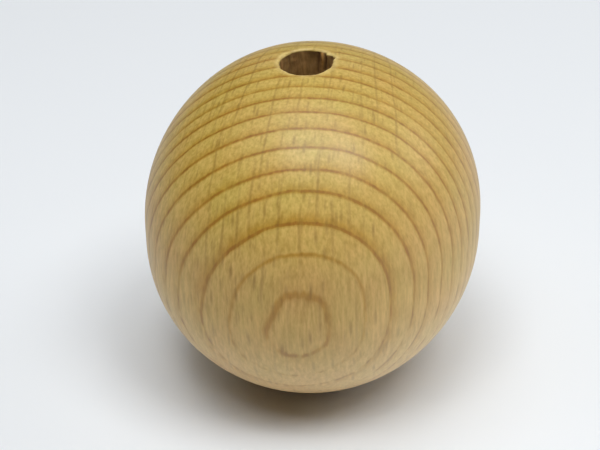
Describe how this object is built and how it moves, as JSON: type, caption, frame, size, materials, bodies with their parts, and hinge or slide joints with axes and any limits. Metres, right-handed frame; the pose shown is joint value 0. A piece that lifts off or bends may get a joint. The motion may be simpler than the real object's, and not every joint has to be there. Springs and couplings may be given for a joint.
{
  "type": "wooden bead",
  "caption": "Turned beech bead, a slightly long ball drilled through along the grain, for threading on cord or a peg.",
  "frame": {"origin": "middle of the bead, on the axis of its bore", "axes": "+Z along the bore, towards the end with the chipped rim; +X across the grain; the bead stands on the rim at -Z"},
  "size_m": [0.05, 0.05, 0.0522],
  "materials": {
    "beech": "sanded and thinly sealed, satin"
  },
  "bodies": {
    "root": {"bead": "beech"}
  },
  "joints": []
}
